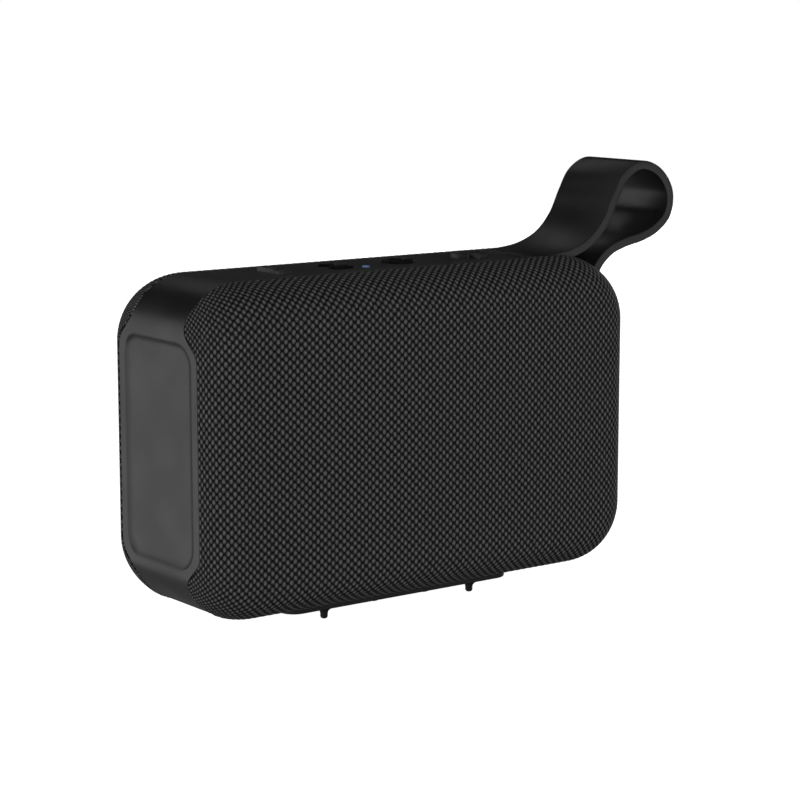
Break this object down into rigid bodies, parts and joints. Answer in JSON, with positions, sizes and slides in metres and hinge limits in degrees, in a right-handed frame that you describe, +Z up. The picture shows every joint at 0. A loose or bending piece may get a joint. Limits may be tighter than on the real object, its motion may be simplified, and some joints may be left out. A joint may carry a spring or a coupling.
{
  "type": "portable shower speaker",
  "caption": "Splash-proof portable speaker with woven covers, a silicone band with a hanging loop, top buttons and peg feet.",
  "frame": {"origin": "under the middle of the bounding box, on the plane of the feet", "axes": "+X along the length towards the hanging loop, +Y towards the back, +Z up"},
  "size_m": [0.1874, 0.06, 0.1319],
  "materials": {
    "band_silicone": "satin black moulded silicone",
    "woven_fabric": "woven cloth, grey flecks on near-black",
    "grille_plastic": "moulded grille plate",
    "case_plastic": "fine-textured casing",
    "seal_rubber": "matt rubber",
    "button_silicone": "satin silicone key",
    "pad_silicone": "satin silicone",
    "foot_rubber": "matt rubber",
    "radiator_metal": "brushed weight plate",
    "battery_wrap": "shrink wrap",
    "board": "solder mask",
    "chip_plastic": "moulded package",
    "shield_metal": "stamped sheet",
    "switch_metal": "small key switch",
    "led_emitter": "moulded lamp",
    "light_lens": "clear light pipe, lit blue",
    "lead_insulation": "insulated wire pair",
    "screw_steel": "zinc plate",
    "basket_metal": "black coating",
    "yoke_steel": "plated",
    "magnet_nickel": "nickel plate",
    "coil_copper": "enamelled copper winding",
    "spider_cloth": "resin-coated cloth",
    "cone_pulp": "coated pulp"
  },
  "bodies": {
    "speaker_body": {"silicone_band": "band_silicone", "front_fabric_cover": "woven_fabric", "rear_fabric_cover": "woven_fabric", "front_grille": "grille_plastic", "rear_grille": "grille_plastic", "front_enclosure": "case_plastic", "rear_enclosure": "case_plastic", "enclosure_gasket": "seal_rubber", "base_pad": "pad_silicone", "front_left_foot": "foot_rubber", "front_right_foot": "foot_rubber", "rear_left_foot": "foot_rubber", "rear_right_foot": "foot_rubber", "charging_socket": "shield_metal", "socket_board": "board", "main_board": "board", "key_board": "board", "amplifier_chip": "chip_plastic", "wireless_module": "shield_metal", "minus_switch": "switch_metal", "play_switch": "switch_metal", "power_switch": "switch_metal", "plus_switch": "switch_metal", "status_led": "led_emitter", "status_light_lens": "light_lens", "battery_cell": "battery_wrap", "battery_holder": "case_plastic", "battery_lead": "lead_insulation", "left_driver_lead": "lead_insulation", "right_driver_lead": "lead_insulation", "case_screw_1": "screw_steel", "case_screw_2": "screw_steel", "case_screw_3": "screw_steel", "case_screw_4": "screw_steel", "left_basket": "basket_metal", "left_yoke_cup": "yoke_steel", "left_magnet": "magnet_nickel", "left_pole_plate": "yoke_steel", "left_spider": "spider_cloth", "left_surround": "seal_rubber", "right_basket": "basket_metal", "right_yoke_cup": "yoke_steel", "right_magnet": "magnet_nickel", "right_pole_plate": "yoke_steel", "right_spider": "spider_cloth", "right_surround": "seal_rubber", "radiator_frame": "case_plastic", "radiator_surround": "seal_rubber"},
    "minus_key": {"minus_button": "button_silicone"},
    "play_key": {"play_button": "button_silicone"},
    "power_key": {"power_button": "button_silicone"},
    "plus_key": {"plus_button": "button_silicone"},
    "port_flap": {"port_cover": "band_silicone"},
    "left_diaphragm": {"left_cone": "cone_pulp", "left_voice_coil": "coil_copper", "left_dust_cap": "cone_pulp"},
    "right_diaphragm": {"right_cone": "cone_pulp", "right_voice_coil": "coil_copper", "right_dust_cap": "cone_pulp"},
    "radiator_mass": {"radiator_plate": "radiator_metal"}
  },
  "joints": [
    {"name": "minus_press", "type": "slide", "parent": "speaker_body", "child": "minus_key", "axis": [0, 0, -1], "range_m": [0, 0.0005], "stiffness_N_per_m": 500},
    {"name": "play_press", "type": "slide", "parent": "speaker_body", "child": "play_key", "axis": [0, 0, -1], "range_m": [0, 0.0005], "stiffness_N_per_m": 500},
    {"name": "power_press", "type": "slide", "parent": "speaker_body", "child": "power_key", "axis": [0, 0, -1], "range_m": [0, 0.0005], "stiffness_N_per_m": 500},
    {"name": "plus_press", "type": "slide", "parent": "speaker_body", "child": "plus_key", "axis": [0, 0, -1], "range_m": [0, 0.0005], "stiffness_N_per_m": 500},
    {"name": "port_cover_hinge", "type": "hinge", "parent": "speaker_body", "child": "port_flap", "pos_m": [0.06156, 0, 0.0344], "axis": [0, 1, 0], "range_deg": [0, 110], "stiffness_Nm_per_rad": 0.0005},
    {"name": "left_cone_travel", "type": "slide", "parent": "speaker_body", "child": "left_diaphragm", "axis": [0, 1, 0], "range_m": [-0.0015, 0.0015], "stiffness_N_per_m": 800, "deforming": ["left_surround", "left_spider"]},
    {"name": "right_cone_travel", "type": "slide", "parent": "speaker_body", "child": "right_diaphragm", "axis": [0, 1, 0], "range_m": [-0.0015, 0.0015], "stiffness_N_per_m": 800, "deforming": ["right_surround", "right_spider"]},
    {"name": "radiator_travel", "type": "slide", "parent": "speaker_body", "child": "radiator_mass", "axis": [0, -1, 0], "range_m": [-0.0025, 0.0025], "stiffness_N_per_m": 600, "deforming": ["radiator_surround"]}
  ]
}
